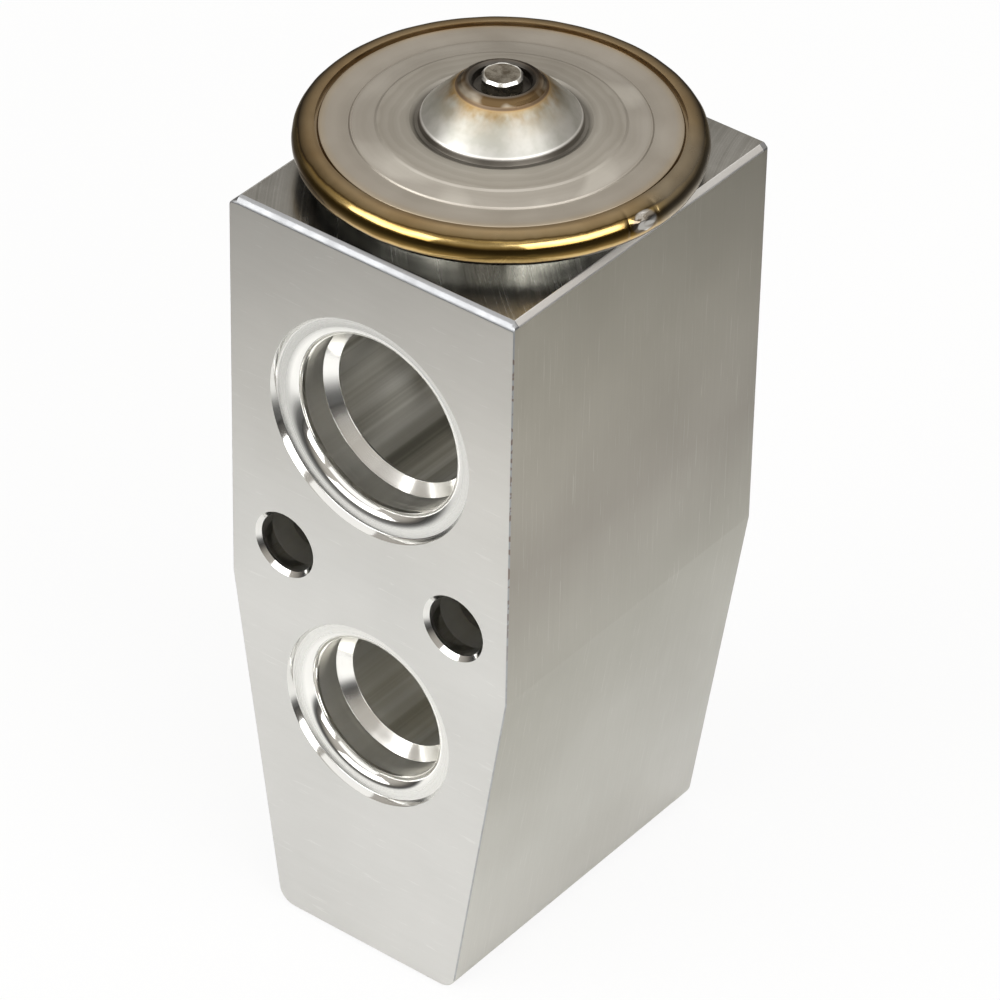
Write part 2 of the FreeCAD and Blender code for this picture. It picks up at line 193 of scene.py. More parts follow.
def place(tree):
    # object coordinates in millimetres, and each of the three by itself
    coordinates = addNode(tree, "TexCoord").outputs["Object"]
    scaled = addNode(tree, "VectorMath", {0: coordinates, 3: 1000.0}, operation="SCALE").outputs[0]
    split = addNode(tree, "SeparateXYZ", {0: scaled})
    return scaled, split.outputs[0], split.outputs[1], split.outputs[2]


def noise(tree, vector, scale, detail, roughness, distortion=0.0):
    made = addNode(tree, "TexNoise", {"Vector": vector, "Scale": scale, "Detail": detail,
                                      "Roughness": roughness, "Distortion": distortion})
    return made.outputs[0]


def lineNoise(tree, value, scale, detail, roughness):
    # noise that varies along one number only, so it draws lines or rings
    made = addNode(tree, "TexNoise", {"W": value, "Scale": scale, "Detail": detail, "Roughness": roughness},
                   noise_dimensions="1D")
    return made.outputs[0]


def stretched(tree, vector, scale):
    return addNode(tree, "Mapping", {"Vector": vector, "Scale": scale}).outputs[0]


def distance2(tree, a, b):
    return calc(tree, "SQRT", calc(tree, "ADD", calc(tree, "MULTIPLY", a, a), calc(tree, "MULTIPLY", b, b)))


def mapped(tree, value, start, end, low=0.0, high=1.0):
    made = addNode(tree, "MapRange", {"Value": value, "From Min": start, "From Max": end, "To Min": low,
                                      "To Max": high}, clamp=True)
    return made.outputs[0]


def spread(tree, value, low, high):
    # most of a noise lies between 0.3 and 0.7, and that part runs from low to high
    return mapped(tree, value, 0.3, 0.7, low, high)


def weighed(tree, first, firstShare, second, secondShare):
    return calc(tree, "ADD", calc(tree, "MULTIPLY", first, firstShare), calc(tree, "MULTIPLY", second, secondShare))


def surfaced(tree, shader, tone, roughness, height, strength, depth):
    # the last step of a finish: its tone, its roughness and a fine relief of that depth in millimetres
    tree.links.new(tone, shader.inputs["Base Color"])
    tree.links.new(roughness, shader.inputs["Roughness"])
    made = addNode(tree, "Bump", {"Height": height, "Strength": strength, "Distance": depth * mm})
    tree.links.new(made.outputs[0], shader.inputs["Normal"])


# the machined block

block = {
    "halfWidth": 17.5, "footHalf": 11.4, "halfDepth": 20.2, "height": 86.0, "taper": 40.4,
    "leftChamfer": 1.0, "rightChamfer": 0.5, "frontChamfer": 0.7, "rearChamfer": 0.12,
    # the roof falls by the first slope at the front chamfer, and by the second one more from secondFrom on
    "firstSlope": 0.67, "secondSlope": 0.61, "secondFrom": 0.33, "roofLift": 0.01, "chamferRows": 24,
    "footRadius": 2.0, "breakRadius": 1.5, "edgeRadius": 0.15, "edgeSteps": 7, "around": 224, "creaseAngle": 24,
    # each finishTo says how far from a hole's axis its own finish reaches
    "returnPort": {"z": 65.6, "recess": 12.35, "bore": 9.77, "passage": 8.65},
    "outletPort": {"z": 30.3, "recess": 10.4, "bore": 8.05, "passage": 6.85, "reach": 24.2, "finishTo": 10.6},
    "inletPort": {"z": 18.0, "recess": 9.2, "bore": 7.0, "passage": 4.0, "finishTo": 9.35},
    "recessDepth": 0.7, "recessSlope": 0.22, "recessCorner": 0.15, "rimBreak": 0.08, "rimDepth": 0.1,
    "lip": 1.35, "lipDepth": 1.4, "lipSteps": 15, "boreDepth": 4.9, "boreRun": 0.6,
    "bolts": {"x": 10.75, "z": 46.7, "r": 3.3, "chamfer": 0.45, "finishTo": 4.2},
    "stud": {"z": 42.0, "r": 2.5, "depth": 14.0, "finishTo": 3.4},
    "outside": 1.0, "drillPoint": 59,
    # radius and height of the bores on the upright axis, from the head's thread down to the adjusting screw
    "core": [
        (0, 87), (9.65, 87), (9.65, 84.4), (8.05, 84.4), (8.05, 76.98), (5.2, 76.98), (5.2, 65), (5.0, 64),
        (5.0, 51.5), (3.25, 51.5), (3.25, 44), (1.25, 44), (1.25, 30.3), (2, 29), (2, 21.8), (3.2, 20.6),
        (6.3, 20.6), (6.3, 11.75), (7.05, 11), (7.05, 0.6), (8.65, -1), (0, -1)],
    # how near a face lies to a plane or an edge to take its finish, and the least area of a flat
    "zones": {"plane": 0.01, "facing": 0.99, "side": 0.3, "sideTop": 0.1, "foot": 0.7, "topEdge": 1.2,
              "topEdgeWidth": 1.3, "endEdge": 0.1, "upright": 0.005, "uprightFrom": 1.5, "outletTo": 8,
              "inletFrom": 4, "flatArea": 20},
    # the saw's centre, and the painted light across the top: its rise by x, by y and its value in the middle
    "sawCentre": (55.0, 30.0), "topLight": (0.0106, -0.0075, 0.60),
}


def halfOutline(side, chamfer):
    # one half of the outline, from the middle of the foot round to the middle of the top
    b = block
    corners = [(0, 0, 0), (b["footHalf"], 0, b["footRadius"]), (b["halfWidth"], b["taper"], b["breakRadius"]),
               (b["halfWidth"], b["height"] - chamfer, 0.7 * chamfer),
               (b["halfWidth"] - chamfer, b["height"], 0.3 * chamfer), (0, b["height"], 0)]
    return divided(softProfile(corners, 8), 6.0) * [side, 1]


def softStep(distance, width=0.04):
    # nothing before the crease, then as much as the distance past it, with a small rounding between
    return 0.5 * (distance + np.sqrt(distance ** 2 + width ** 2))


def blockBlank():
    # outline of width and height, carried along the depth; near each end it shrinks by the edge's rounding,
    # and its top falls away in two slopes at the front chamfer and in one at the rear
    b = block
    right, left = halfOutline(1, b["rightChamfer"]), halfOutline(-1, b["leftChamfer"])
    outline = np.concatenate([right, left[-2:0:-1]])
    along = np.roll(outline, -1, axis=0) - np.roll(outline, 1, axis=0)
    outward = np.stack([along[:, 1], -along[:, 0]], axis=1) / np.linalg.norm(along, axis=1)[:, None]
    turn = np.linspace(0, np.pi / 2, b["edgeSteps"])
    rim = b["edgeRadius"]
    fine = np.linspace(b["halfDepth"] - rim - 0.02, b["halfDepth"] - b["frontChamfer"] - 0.15, b["chamferRows"])
    depths = np.concatenate([b["halfDepth"] - rim * (1 - np.cos(turn)), fine])
    insets = np.concatenate([rim * (1 - np.sin(turn)), 0 * fine])
    depths = np.concatenate([-depths, depths[::-1]])
    insets = np.concatenate([insets, insets[::-1]])
    rings = outline[None] - outward[None] * insets[:, None, None]
    front = -depths - b["halfDepth"] + b["frontChamfer"]
    rear = depths - b["halfDepth"] + b["rearChamfer"]
    roof = b["height"] - b["firstSlope"] * softStep(front) - b["secondSlope"] * softStep(front - b["secondFrom"])
    # the lift keeps the far ends of the soft steps off the flat top
    roof = roof - softStep(rear) + b["roofLift"]
    heights = np.minimum(rings[:, :, 1], (np.minimum(roof, b["height"]) - insets)[:, None])
    grid = np.stack([rings[:, :, 0], depths[:, None] + 0 * heights, heights], axis=2)
    return pieceFromGrid("blockShell", grid, capped=True)


def portProfile(port):
    # radius and depth below the face: recess wall, recess floor, rounded lip, bore, 45 degree shoulder, passage
    b = block
    recess, bore, passage = port["recess"], port["bore"], port["passage"]
    lipTop, floorEdge = b["recessDepth"], bore + b["lip"]
    turn = np.linspace(0, np.pi / 2, b["lipSteps"])
    lip = np.stack([floorEdge - b["lip"] * np.sin(turn), lipTop + b["lipDepth"] * (1 - np.cos(turn))], axis=1)
    start = softProfile([(recess + b["rimBreak"], -b["outside"], 0), (recess + b["rimBreak"], 0, 0),
                         (recess, b["rimDepth"], 0), (recess - b["recessSlope"], lipTop, b["recessCorner"]),
                         (floorEdge + 0.02, lipTop, 0)], 4)
    deep, shoulder = b["boreDepth"], bore - passage
    end = softProfile([(bore, deep - b["boreRun"], 0), (bore, deep, 0.05), (passage, deep + shoulder, 0.08),
                       (passage, deep + shoulder + 1, 0)], 4)
    return np.concatenate([start, lip, end])


def cutterFrom(name, profile, x=0.0, z=0.0, upright=False):
    grid = ringGrid(profile, block["around"], "z" if upright else "y")
    return pieceFromGrid(name, grid + np.array([x, 0, z]))


def blockCutters():
    # each cutter starts a little outside the block; a blind hole ends in a cone as steep as a drill's point
    b = block
    face, out, steep = b["halfDepth"], b["outside"], math.tan(math.radians(b["drillPoint"]))
    front = portProfile(b["returnPort"])
    through = np.concatenate([[[0, -face - out]], front + [0, -face],
                              (front * [1, -1] + [0, face])[::-1], [[0, face + out]]])
    yield cutterFrom("returnCutter", through, z=b["returnPort"]["z"])
    passage, reach = b["outletPort"]["passage"], b["outletPort"]["reach"]
    blind = np.concatenate([[[0, -out]], portProfile(b["outletPort"]),
                            [[passage, reach], [0, reach + passage / steep]]])
    yield cutterFrom("outletCutter", blind + [0, -face], z=b["outletPort"]["z"])
    passage = b["inletPort"]["passage"]
    inlet = np.concatenate([[[0, -out]], portProfile(b["inletPort"]), [[passage, face], [0, face]]])
    yield cutterFrom("inletCutter", inlet * [1, -1] + [0, face], z=b["inletPort"]["z"])
    r, c = b["bolts"]["r"], b["bolts"]["chamfer"]
    bolt = np.array([[0, -face - out], [r + c + out, -face - out], [r, c - face],
                     [r, face - c], [r + c + out, face + out], [0, face + out]])
    for side in (-1, 1):
        yield cutterFrom("boltCutter", bolt, side * b["bolts"]["x"], b["bolts"]["z"])
    r, deep = b["stud"]["r"], b["stud"]["depth"]
    stud = np.array([[0, out], [r + c + out, out], [r, -c], [r, -deep], [0, -deep - r / steep]])
    yield cutterFrom("studCutter", stud + [0, face], z=b["stud"]["z"])
    yield cutterFrom("coreCutter", np.array(b["core"]), upright=True)


def cutBlock():
    piece = blockBlank()
    for cutter in blockCutters():
        carve = piece.modifiers.new("carve", "BOOLEAN")
        carve.operation, carve.solver, carve.object = "DIFFERENCE", "MANIFOLD", cutter
        evaluated = piece.evaluated_get(bpy.context.evaluated_depsgraph_get())
        mesh = bpy.data.meshes.new_from_object(evaluated)
        piece.modifiers.clear()
        piece.data = mesh
        spent = cutter.data
        bpy.data.objects.remove(cutter)
        bpy.data.meshes.remove(spent)
    piece.data.name = "blockShell"
    piece.data.materials.clear()
    smoothed(piece, block["creaseAngle"])
    return piece


def faceCentres(piece):
    count = len(piece.data.polygons)
    centre, normal = np.zeros(count * 3), np.zeros(count * 3)
    piece.data.polygons.foreach_get("center", centre)
    piece.data.polygons.foreach_get("normal", normal)
    return centre.reshape(-1, 3) / mm, normal.reshape(-1, 3)


def sortBlockFaces(piece):
    # each face takes the finish of the cut that made it, from where it lies and which way it looks
    b, zones = block, block["zones"]
    centre, normal = faceCentres(piece)
    x, y, z = np.abs(centre[:, 0]), centre[:, 1], centre[:, 2]
    depth = np.abs(y)

    def near(hole, x0=0.0):
        return np.hypot(x - x0, z - hole["z"]) < hole["finishTo"]

    outerX = b["footHalf"] + (b["halfWidth"] - b["footHalf"]) * np.clip(z / b["taper"], 0, 1)
    chamfer = np.where(centre[:, 0] > 0, b["rightChamfer"], b["leftChamfer"])
    onEnd = (depth > b["halfDepth"] - zones["plane"]) & (np.abs(normal[:, 1]) > zones["facing"])
    onSide = (x > outerX - zones["side"]) & (z < b["height"] - chamfer - zones["sideTop"])
    onTop = (z > b["height"] - zones["plane"]) & (normal[:, 2] > zones["facing"])
    onFoot = z < zones["foot"]
    atEnd = depth > b["halfDepth"] - b["frontChamfer"] - zones["endEdge"]
    edge = (z > b["height"] - zones["topEdge"]) & ~onTop & ((x > outerX - zones["topEdgeWidth"]) | atEnd) & ~onSide
    edge |= onSide & (depth > b["halfDepth"] - b["edgeRadius"] - zones["upright"]) & (z > zones["uprightFrom"])
    side, end, top, returnPort, outletPort, inletPort, hole, edgeLit = range(len(blockMaterials))
    slot = np.full(len(x), returnPort)
    slot[near(b["outletPort"]) & (y < zones["outletTo"])] = outletPort
    slot[near(b["inletPort"]) & (y > zones["inletFrom"])] = inletPort
    slot[near(b["bolts"], b["bolts"]["x"]) | near(b["stud"]) & (y > 0)] = hole
    slot[onFoot | onSide] = side
    slot[edge] = edgeLit
    slot[onTop] = top
    slot[onEnd] = end
    piece.data.polygons.foreach_set("material_index", slot.astype(np.int32))
    # large flats keep their own normals, so that the edge roundings beside them don't bend the reflections
    area = np.zeros(len(x))
    piece.data.polygons.foreach_get("area", area)
    flat = onEnd | onTop | (area > zones["flatArea"] * mm ** 2)
    piece.data.polygons.foreach_set("use_smooth", ~flat)
    print("block faces", len(x), "by finish", np.bincount(slot, minlength=len(blockMaterials)).tolist())


def satinMetal(name, tones, dark, roughness, lines, turned):
    # rolled or milled flat: fine lines along one direction, broad clouds, few scratches; the tones by share of the
    # height are painted shade, standing in for how the light falls on the face
    material, tree, shader = newMaterial(name, tones[0][1], roughness)
    vector, _, _, z = place(tree)
    fine = noise(tree, stretched(tree, vector, lines), 1.0, 5.0, 0.65)
    broad = noise(tree, vector, 0.05, 3.0, 0.5)
    # painted shade: the tone by share of the height
    tone = ramp(tree, calc(tree, "DIVIDE", z, block["height"], clamp=True), tones)
    share = weighed(tree, fine, 0.25, broad, 0.75)
    tone = mixColour(tree, spread(tree, share, 0.5, 0.0), tone, dark, "MULTIPLY")
    leaning = addNode(tree, "Mapping", {"Vector": vector, "Rotation": turned, "Scale": tuple(2.5 * v for v in lines)})
    marks = noise(tree, leaning.outputs[0], 1.0, 2.0, 0.5, 0.5)
    scratch = ramp(tree, marks, [(0.0, 0.0), (0.67, 0.0), (0.70, 1.0)])
    tone = mixColour(tree, calc(tree, "MULTIPLY", scratch, 0.12), tone, (0.97, 0.97, 0.96))
    surfaced(tree, shader, tone, spread(tree, share, roughness * 1.15, roughness * 0.88),
             calc(tree, "ADD", fine, calc(tree, "MULTIPLY", scratch, -0.5)), 0.25, 0.008)
    return material


def sawnTop(name):
    # arcs of a saw blade cross the end: rings about a centre beside it, glossy between fine grooves; painted light
    # makes the top palest at its front right corner and darker towards the rear left
    material, tree, shader = newMaterial(name, (0.5, 0.5, 0.48), 0.2)
    vector, x, y, _ = place(tree)
    across = calc(tree, "SUBTRACT", x, block["sawCentre"][0])
    radius = distance2(tree, across, calc(tree, "SUBTRACT", y, block["sawCentre"][1]))
    fine = lineNoise(tree, radius, 4.5, 4.0, 0.7)
    coarse = lineNoise(tree, radius, 0.9, 2.0, 0.5)
    broken = noise(tree, vector, 0.22, 3.0, 0.6)
    share = calc(tree, "ADD", weighed(tree, fine, 0.35, coarse, 0.25), calc(tree, "MULTIPLY", broken, 0.4))
    tone = ramp(tree, share, [(0.34, (0.54, 0.54, 0.51)), (0.5, (0.70, 0.70, 0.67)), (0.66, (0.86, 0.86, 0.83))])
    # painted light: the tone is multiplied by a ramp that rises towards the front right corner
    byX, byY, middle = block["topLight"]
    lightToCorner = calc(tree, "MULTIPLY_ADD", x, byX, calc(tree, "MULTIPLY_ADD", y, byY, middle))
    tone = mixColour(tree, 1.0, tone, ramp(tree, lightToCorner, [(0.0, 0.0), (1.0, 1.0)]), "MULTIPLY")
    surfaced(tree, shader, tone, spread(tree, share, 0.19, 0.30), share, 0.4, 0.012)
    return material


portLook = {
    # places are shares of this depth below the face: recess, its floor, lip, bore, shoulder and passage
    "depth": 20.0,
    "tones": [
        (0.0, (0.74, 0.74, 0.72)), (0.036, (0.74, 0.74, 0.72)), (0.042, (0.87, 0.87, 0.85)),
        (0.102, (0.87, 0.87, 0.85)), (0.110, (0.88, 0.87, 0.83)), (0.240, (0.90, 0.89, 0.85)),
        (0.246, (0.92, 0.92, 0.90)), (0.300, (0.92, 0.92, 0.90)), (0.312, (0.95, 0.94, 0.90)),
        (1.0, (0.93, 0.92, 0.88))],
    "gloss": [
        (0.0, 0.10), (0.032, 0.10), (0.0345, 0.28), (0.037, 0.26), (0.042, 0.09), (0.102, 0.09),
        (0.112, 0.34), (0.240, 0.34), (0.246, 0.14), (0.302, 0.14), (0.315, 0.40), (1.0, 0.42)],
    # share of the painted shade, in streaks like sheen, that darkens each hole deeper in
    "inside": [
        (0.0, 0.0), (0.106, 0.0), (0.116, 0.25), (0.24, 0.25), (0.245, 0.15), (0.302, 0.15), (0.315, 1.0),
        (1.0, 1.0)],
}


def portMetal(name, hole, darkest):
    # turned port: the finish changes with depth below the face, and fine feed lines run round the axis; deep inside,
    # painted shade in streaks, standing in for the dark sheen of the bore and passage, falls to the darkest share of
    # the tone; holes off the middle come in mirrored pairs
    material, tree, shader = newMaterial(name, (0.6, 0.6, 0.58), 0.2)
    _, x, y, z = place(tree)
    across = calc(tree, "SUBTRACT", calc(tree, "ABSOLUTE", x) if "x" in hole else x, hole.get("x", 0.0))
    radius = distance2(tree, across, calc(tree, "SUBTRACT", z, hole["z"]))
    depth = calc(tree, "SUBTRACT", block["halfDepth"], calc(tree, "ABSOLUTE", y))
    part = calc(tree, "DIVIDE", depth, portLook["depth"])
    tone = ramp(tree, part, portLook["tones"])
    gloss = ramp(tree, part, portLook["gloss"])
    feed = lineNoise(tree, calc(tree, "ADD", depth, calc(tree, "MULTIPLY", radius, 0.8)), 3.2, 2.0, 0.5)
    # the painted shade inside is streaked along the axis, like sheen: noise that depends only on the direction from
    # the axis
    around = addNode(tree, "CombineXYZ", {0: calc(tree, "DIVIDE", across, radius),
                                          1: calc(tree, "DIVIDE", calc(tree, "SUBTRACT", z, hole["z"]), radius)})
    shadeStreak = noise(tree, around.outputs[0], 2.3, 4.0, 0.62)
    inside = ramp(tree, part, portLook["inside"])
    middle = 0.5 + 0.55 * darkest
    shade = ramp(tree, shadeStreak, [(0.34, (darkest, 0.98 * darkest, 0.9 * darkest)),
                                (0.46, (middle, 0.99 * middle, 0.95 * middle)), (0.58, (1.0, 1.0, 1.0))])
    # painted shade: the streaked shade darkens the tone by the share inside
    tone = mixColour(tree, inside, tone, shade, "MULTIPLY")
    surfaced(tree, shader, tone, calc(tree, "MULTIPLY", gloss, spread(tree, feed, 0.85, 1.15)), feed, 0.12, 0.006)
    return material


def edgeFinishWithHighlight(name):
    # edges: the long side ones are painted pale and soft as a highlight, the ones of the ends glossier and bluish;
    # below the top, short brown specks sit in the upright edges
    material, tree, shader = newMaterial(name, (0.9, 0.9, 0.88), 0.4)
    vector, _, y, z = place(tree)
    chatter = noise(tree, stretched(tree, vector, (0.5, 0.25, 0.5)), 1.0, 3.0, 0.55)
    atEnd = calc(tree, "GREATER_THAN", calc(tree, "ABSOLUTE", y), block["halfDepth"] - block["frontChamfer"] - 0.05)
    # painted highlight: near white on the long side edges
    tone = mixColour(tree, atEnd, (0.98, 0.975, 0.96), (0.42, 0.43, 0.445))
    tone = mixColour(tree, spread(tree, chatter, 0.0, 0.35), tone, (0.75, 0.75, 0.75), "MULTIPLY")
    upright = ramp(tree, calc(tree, "DIVIDE", z, block["height"], clamp=True),
                   [(0.0, 0.1), (0.5, 0.15), (0.66, 0.8), (0.97, 0.8), (0.98, 0.0)])
    specks = ramp(tree, noise(tree, vector, 1.3, 2.0, 0.5), [(0.0, 1.0), (0.44, 1.0), (0.48, 0.0)])
    tone = mixColour(tree, calc(tree, "MULTIPLY", specks, upright), tone, (0.22, 0.16, 0.13))
    surfaced(tree, shader, tone, spread(tree, chatter, 0.36, 0.46), chatter, 0.15, 0.01)
    return material


blockMaterials = [
    # the first list of each finish is painted shade by share of the height: the sides palest at the foot and darkest
    # two thirds up, the end faces nearly even
    satinMetal("extrudedSide",
               [(0.0, (0.62, 0.615, 0.59)), (0.15, (0.59, 0.59, 0.56)), (0.44, (0.445, 0.44, 0.398)),
                (0.64, (0.362, 0.343, 0.305)), (0.84, (0.435, 0.415, 0.36)), (1.0, (0.44, 0.42, 0.36))],
               (0.80, 0.79, 0.77), 0.36, (0.35, 3.0, 0.05), (0.25, 0, 0)),
    satinMetal("milledFace",
               [(0.0, (0.645, 0.645, 0.635)), (0.55, (0.655, 0.655, 0.64)), (0.8, (0.68, 0.67, 0.64)),
                (1.0, (0.66, 0.645, 0.61))],
               (0.84, 0.84, 0.83), 0.31, (0.10, 1.6, 1.3), (0, 0.35, 0)),
    sawnTop("sawnTop"),
    portMetal("returnPortMetal", block["returnPort"], 0.36),
    portMetal("outletPortMetal", block["outletPort"], 0.62),
    portMetal("inletPortMetal", block["inletPort"], 0.5),
    portMetal("boltHoleMetal", block["bolts"], 0.8),
    edgeFinishWithHighlight("edgeHighlightAndSpecks"),
]
blockShell = cutBlock()
sortBlockFaces(blockShell)
fitted(blockShell, "block", blockMaterials, "valve_body")
print("block cut")


# the diaphragm head: both pressed covers, the weld that joins them and the plug in the crown

cover = {
    "around": 360, "waviness": 0.018, "waveFrom": 9.5, "waveTo": 17.2, "toneRadius": 20.0,
    "coneBulge": 0.10, "coneFoot": 7.9, "coneRun": 3.4, "coneFrom": 92.1,
    # radius, height and rounding, from the weld over the plate and cone to the crown's recess, and back inside
    "profile": [
        (18.24, 90.83, 0), (17.86, 90.78, 0.05), (17.76, 91.12, 0.12), (17.4, 91.135, 0.1), (14.82, 91.12, 0.05),
        (14.68, 91.27, 0.10), (12.35, 91.47, 0.3), (12.08, 91.59, 0.25), (8.95, 91.775, 0.2), (8.45, 91.535, 0.12),
        (8.1, 91.56, 0.06), (7.92, 92.16, 0.08), (4.52, 95.59, 0.08), (4.40, 95.72, 0.05), (3.98, 96.10, 0.3),
        (3.33, 96.42, 0.12), (2.95, 96.15, 0.12), (2.8, 95.455, 0.1), (1.52, 95.455, 0.05), (1.52, 94.735, 0.1),
        (3.3, 94.735, 0.3), (6.7, 90.625, 0.5), (16.66, 89.575, 0.5), (18.1, 89.575, 0.03), (18.1, 90.70, 0),
        (18.24, 90.83, 0)],
}


def headCover():
    # pressed sheet carried round the axis; the cone swells by a sine of the way up it, the plate waves faintly
    c = cover
    profile = divided(softProfile(c["profile"], 7), 0.4)[:-1]
    upCone = np.clip((c["coneFoot"] - profile[:, 0]) / c["coneRun"], 0, 1) * (profile[:, 1] > c["coneFrom"])
    profile[:, 1] += c["coneBulge"] * np.sin(np.pi * upCone)
    grid = ringGrid(profile, c["around"])
    turn = np.arctan2(grid[:, :, 1], grid[:, :, 0])
    radius = np.hypot(grid[:, :, 0], grid[:, :, 1])
    onPlate = np.clip((radius - c["waveFrom"]) / 2, 0, 1) * np.clip(c["waveTo"] - radius, 0, 1)
    grid[:, :, 2] += onPlate * c["waviness"] * (np.sin(3 * turn + 0.6) + 0.6 * np.sin(5 * turn + radius * 0.5))
    return pieceFromGrid("headCover", grid, closedSection=True)


bead = {
    "centre": 18.45, "height": 89.5, "section": 1.9, "inner": 18.12, "around": 900, "rows": 81,
    "blobTurn": 350.5, "blobLift": 0.22, "blobWidth": 0.06, "blobHeight": 0.32, "notchDepth": 0.2,
    # size, waves in a turn and phase of each wave; place, width and share of each dip, in radians from the blob
    "waves": [(0.012, 9, 1.0), (0.010, 23, 0.0), (0.007, 41, 2.0)],
    "dips": [(-0.085, 0.012, 1.0), (0.09, 0.014, 0.5)],
    # the silver spot's scale along and across the weld and the steepness of its edge
    "tintAlong": 12.0, "tintAcross": 1.7, "tintEdge": 5.0,
}


def weldBead():
    # round section carried round the rim; its size wanders by sines, and a Gaussian swelling between two
    # Gaussian dips marks where the weld ends
    b = bead
    inner = math.acos((b["inner"] - b["centre"]) / b["section"])
    section = np.linspace(-inner, inner, b["rows"])[:, None]
    turn = np.linspace(0, 2 * np.pi, b["around"], endpoint=False)[None, :]
    away = (turn - math.radians(b["blobTurn"]) + np.pi) % (2 * np.pi) - np.pi
    wander = sum(size * np.sin(count * turn + phase) for size, count, phase in b["waves"])
    bulge = b["blobLift"] * np.exp(-(away / b["blobWidth"]) ** 2) * np.exp(-((section - b["blobHeight"]) / 0.4) ** 2)
    bulge *= 1 + 0.4 * np.sin(60 * away + 9 * section)
    dips = sum(share * np.exp(-((away - at) / width) ** 2) for at, width, share in b["dips"])
    dips = -b["notchDepth"] * dips * np.exp(-((section - 0.4) / 0.7) ** 2)
    edgeFade = np.sin(np.clip((section + inner) / (2 * inner), 0, 1) * np.pi)
    size = b["section"] - 0.012 + (wander + bulge + dips) * edgeFade
    radius = np.minimum(b["centre"] + size * np.cos(section), b["centre"] + b["section"])
    height = b["height"] + size * np.sin(section)
    grid = np.stack([radius * np.cos(turn), radius * np.sin(turn), height + 0 * turn], axis=2)
    return pieceFromGrid("weldBead", grid, closedSection=True)


plug = {
    "around": 192, "flatShare": 0.955, "corner": -52.5, "skirtTop": 96.6, "toneRadius": 4.0,
    # the flats set in over the second number, from the first one on
    "flatsOutward": (1.55, 0.3), "flatsUpward": (95.45, 0.2),
    "profile": [
        (0, 94.275, 0), (1.3, 94.275, 0), (1.5, 94.475, 0), (1.5, 95.475, 0.03), (2.08, 95.475, 0.05),
        (2.08, 96.66, 0.05), (1.88, 96.965, 0.06), (1.76, 96.93, 0.05), (0, 96.87, 0)],
}


def sealingPlug():
    # button with a flat top and a bevel; its skirt has six soft flats, with one corner towards the camera
    p = plug
    grid = ringGrid(divided(softProfile(p["profile"], 6), 0.12), p["around"])
    turn = np.linspace(0, 2 * np.pi, p["around"], endpoint=False)[None, :]
    radius = np.hypot(grid[:, :, 0], grid[:, :, 1])
    wedge = (turn - math.radians(p["corner"])) % (np.pi / 3) - np.pi / 6
    flats = np.minimum(1.0, p["flatShare"] / np.cos(wedge))
    (inner, outward), (low, upward) = p["flatsOutward"], p["flatsUpward"]
    skirt = np.clip((radius - inner) / outward, 0, 1) * np.clip((grid[:, :, 2] - low) / upward, 0, 1)
    factor = 1 + (flats - 1) * skirt
    grid[:, :, 0] *= factor
    grid[:, :, 1] *= factor
    return pieceFromGrid("sealingPlug", grid)


dish = {
    "around": 288,
    "profile": [
        (18.1, 89.425, 0), (15.7, 89.425, 0.5), (14.75, 87.625, 0.5), (6.8, 87.625, 0.05), (6.8, 86.725, 0.05),
        (14.2, 86.725, 0.3), (14.6, 86.2, 0.25), (15.3, 86.2, 0.35), (16.45, 88.525, 0.35), (18.1, 88.525, 0.05),
        (18.1, 89.425, 0)],
}


def lowerDish():
    # pressed cup under the rim: flange, steep wall with soft bends, a foot bead close over the block, and the
    # floor round the neck
    profile = divided(softProfile(dish["profile"], 8), 0.5)[:-1]
    return pieceFromGrid("lowerDish", ringGrid(profile, dish["around"]), closedSection=True)


